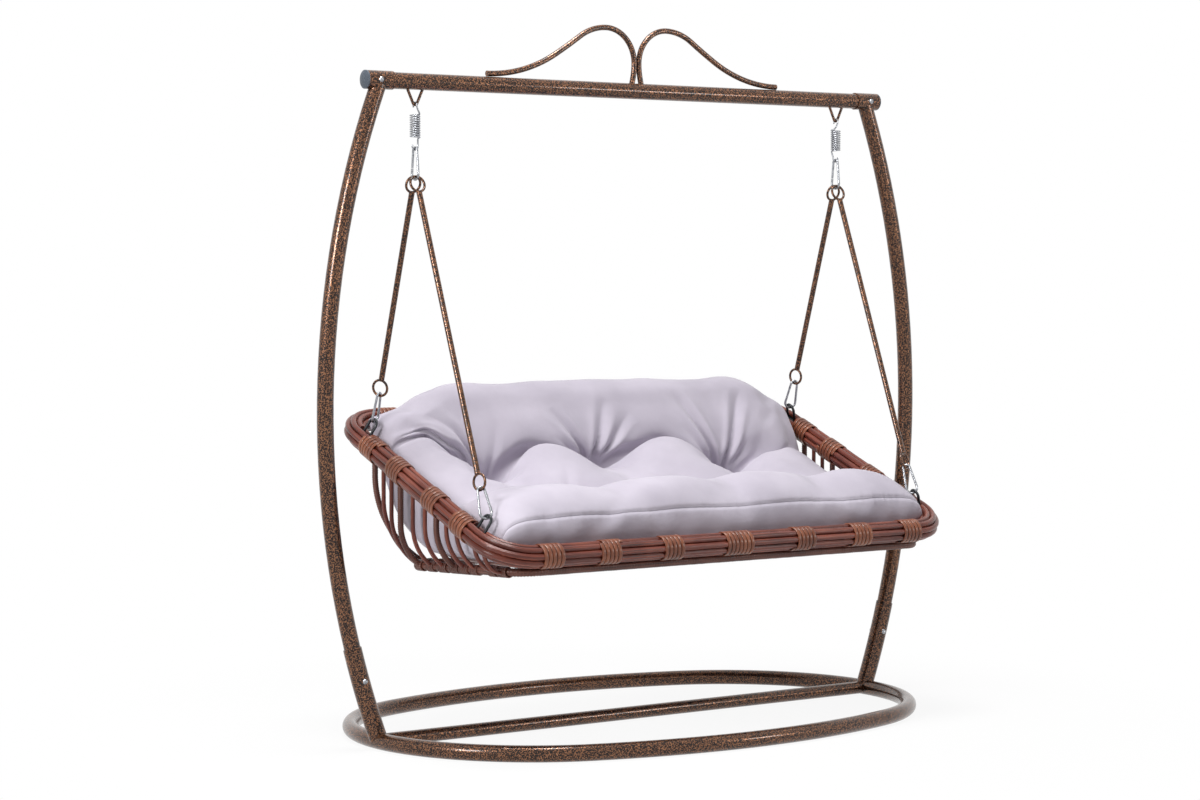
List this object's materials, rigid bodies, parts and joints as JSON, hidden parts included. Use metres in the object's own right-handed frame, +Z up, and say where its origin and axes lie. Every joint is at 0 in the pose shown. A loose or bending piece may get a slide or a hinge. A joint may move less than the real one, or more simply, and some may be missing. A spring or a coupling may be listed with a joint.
{
  "type": "garden swing",
  "caption": "Free-standing garden swing: a bowed steel stand on an oval floor ring, and a cane basket sofa with a tufted cushion hung on springs, snap hooks and rods.",
  "frame": {"origin": "on the floor at the centre of the oval ring", "axes": "+X to the right along the top bar seen from the front, +Y to the back, +Z up"},
  "size_m": [2.103, 1.197, 1.984],
  "materials": {
    "copper_paint": "hammered antique-copper powder coat",
    "cap_plastic": "satin moulded",
    "zinc": "bright zinc plate",
    "dark_steel": "dark grey paint",
    "cane": "ribbed synthetic cane",
    "binding": "glossy flat synthetic strip",
    "wrapped_cane": "wound synthetic cane",
    "cushion_cloth": "plain woven cloth, tufted"
  },
  "bodies": {
    "stand": {"base_ring": "copper_paint", "base_crossbar": "copper_paint", "left_foot_socket": "copper_paint", "right_foot_socket": "copper_paint", "left_upright": "copper_paint", "right_upright": "copper_paint", "left_top_sleeve": "copper_paint", "right_top_sleeve": "copper_paint", "top_bar": "copper_paint", "left_scroll": "copper_paint", "right_scroll": "copper_paint", "left_hanger_eye": "copper_paint", "right_hanger_eye": "copper_paint", "left_end_cap": "cap_plastic", "right_end_cap": "cap_plastic", "upper_bolts": "zinc", "upper_nuts": "zinc", "lower_bolts": "zinc", "lower_nuts": "zinc"},
    "springs": {"left_spring": "zinc", "right_spring": "zinc"},
    "upper_hooks": {"left_upper_hook": "zinc", "right_upper_hook": "zinc", "upper_gate_pins": "zinc"},
    "seat": {"left_front_rod": "copper_paint", "left_back_rod": "copper_paint", "right_front_rod": "copper_paint", "right_back_rod": "copper_paint", "left_front_hook": "zinc", "left_back_hook": "zinc", "right_front_hook": "zinc", "right_back_hook": "zinc", "lower_gate_pins": "zinc", "front_seat_eyes": "dark_steel", "back_seat_eyes": "dark_steel", "rim_core": "dark_steel", "left_rim_canes": "cane", "right_rim_canes": "cane", "front_bindings": "binding", "side_bindings": "binding", "back_bindings": "binding", "bottom_hoop": "wrapped_cane", "thick_side_ribs": "wrapped_cane", "thin_side_ribs": "wrapped_cane", "thick_seat_canes": "cane", "thin_seat_canes": "cane", "back_cross_canes": "cane", "floor_cross_canes": "cane", "cushion": "cushion_cloth"},
    "right_upper_gate": {"right_upper_gate": "zinc"},
    "left_upper_gate": {"left_upper_gate": "zinc"},
    "right_front_gate": {"right_front_gate": "zinc"},
    "left_front_gate": {"left_front_gate": "zinc"},
    "right_back_gate": {"right_back_gate": "zinc"},
    "left_back_gate": {"left_back_gate": "zinc"}
  },
  "joints": [
    {"name": "swing", "type": "hinge", "parent": "stand", "child": "springs", "pos_m": [0, 0, 1.73753], "axis": [1, 0, 0], "range_deg": [-25, 25]},
    {"name": "bounce", "type": "slide", "parent": "springs", "child": "upper_hooks", "axis": [0, 0, -1], "range_m": [0, 0.04], "stiffness_N_per_m": 54000, "springref_m": -0.008, "deforming": ["left_spring", "right_spring"]},
    {"name": "seat_tilt", "type": "hinge", "parent": "upper_hooks", "child": "seat", "pos_m": [0, 0, 1.55223], "axis": [1, 0, 0], "range_deg": [-12, 12]},
    {"name": "right_upper_gate_hinge", "type": "hinge", "parent": "upper_hooks", "child": "right_upper_gate", "pos_m": [0.74474, 0.01076, 1.60222], "axis": [-1, 0, 0], "range_deg": [0, 25], "stiffness_Nm_per_rad": 0.02, "springref_deg": -11.46},
    {"name": "left_upper_gate_hinge", "type": "hinge", "parent": "upper_hooks", "child": "left_upper_gate", "pos_m": [-0.74474, 0.01076, 1.60222], "axis": [-1, 0, 0], "range_deg": [0, 25], "stiffness_Nm_per_rad": 0.02, "springref_deg": -11.46},
    {"name": "right_front_gate_hinge", "type": "hinge", "parent": "seat", "child": "right_front_gate", "pos_m": [0.7383, -0.31895, 0.7011], "axis": [-0.6431, -0.7157, 0.2725], "range_deg": [0, 25], "stiffness_Nm_per_rad": 0.02, "springref_deg": -11.46},
    {"name": "left_front_gate_hinge", "type": "hinge", "parent": "seat", "child": "left_front_gate", "pos_m": [-0.75665, -0.32197, 0.70229], "axis": [-0.3417, -0.8775, 0.3365], "range_deg": [0, 25], "stiffness_Nm_per_rad": 0.02, "springref_deg": -11.46},
    {"name": "right_back_gate_hinge", "type": "hinge", "parent": "seat", "child": "right_back_gate", "pos_m": [0.73465, 0.19747, 0.93481], "axis": [-0.342, -0.8972, -0.2795], "range_deg": [0, 25], "stiffness_Nm_per_rad": 0.02, "springref_deg": -11.46},
    {"name": "left_back_gate_hinge", "type": "hinge", "parent": "seat", "child": "left_back_gate", "pos_m": [-0.73544, 0.19909, 0.93532], "axis": [-0.5, 0.8268, 0.2576], "range_deg": [0, 25], "stiffness_Nm_per_rad": 0.02, "springref_deg": -11.46}
  ]
}
